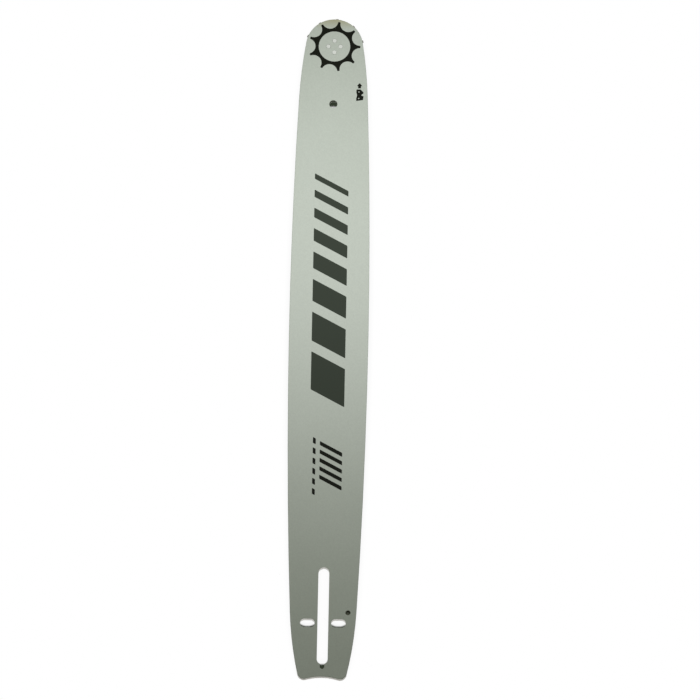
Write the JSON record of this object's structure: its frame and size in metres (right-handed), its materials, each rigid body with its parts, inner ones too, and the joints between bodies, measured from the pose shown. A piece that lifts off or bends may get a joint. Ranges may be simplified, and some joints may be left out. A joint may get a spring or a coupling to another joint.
{
  "type": "chainsaw guide bar",
  "caption": "Laminated chainsaw guide bar with a stud slot, adjuster holes, an edge groove for the chain and a toothed sprocket that turns on rollers in its round nose.",
  "frame": {"origin": "middle of the stud slot, on the lower face that the bar lies on", "axes": "+X along the bar towards the sprocket nose, +Y across it, +Z out of the upper face"},
  "size_m": [0.5207, 0.06, 0.0045],
  "materials": {
    "painted_plate": "satin",
    "plain_steel": "satin",
    "bearing_steel": "polished"
  },
  "bodies": {
    "bar": {"side_plate_top": "painted_plate", "side_plate_bottom": "painted_plate", "core_plate": "plain_steel", "bearing_inner_ring": "bearing_steel", "nose_rivets": "bearing_steel"},
    "sprocket": {"nose_sprocket": "plain_steel"},
    "rollers": {"bearing_roller_01": "bearing_steel", "bearing_roller_02": "bearing_steel", "bearing_roller_03": "bearing_steel", "bearing_roller_04": "bearing_steel", "bearing_roller_05": "bearing_steel", "bearing_roller_06": "bearing_steel", "bearing_roller_07": "bearing_steel", "bearing_roller_08": "bearing_steel", "bearing_roller_09": "bearing_steel", "bearing_roller_10": "bearing_steel", "bearing_roller_11": "bearing_steel", "bearing_roller_12": "bearing_steel", "bearing_roller_13": "bearing_steel", "bearing_roller_14": "bearing_steel", "bearing_roller_15": "bearing_steel", "bearing_roller_16": "bearing_steel"}
  },
  "joints": [
    {"name": "sprocket_spin", "type": "hinge", "parent": "bar", "child": "sprocket", "pos_m": [0.4489, 0, 0.00225], "axis": [0, 0, 1], "continuous": true},
    {"name": "roller_orbit", "type": "hinge", "parent": "bar", "child": "rollers", "pos_m": [0.4489, 0, 0.00225], "axis": [0, 0, 1], "continuous": true}
  ],
  "couplings": [
    {"joint": "roller_orbit", "follows": "sprocket_spin", "ratio": 0.59342}
  ]
}
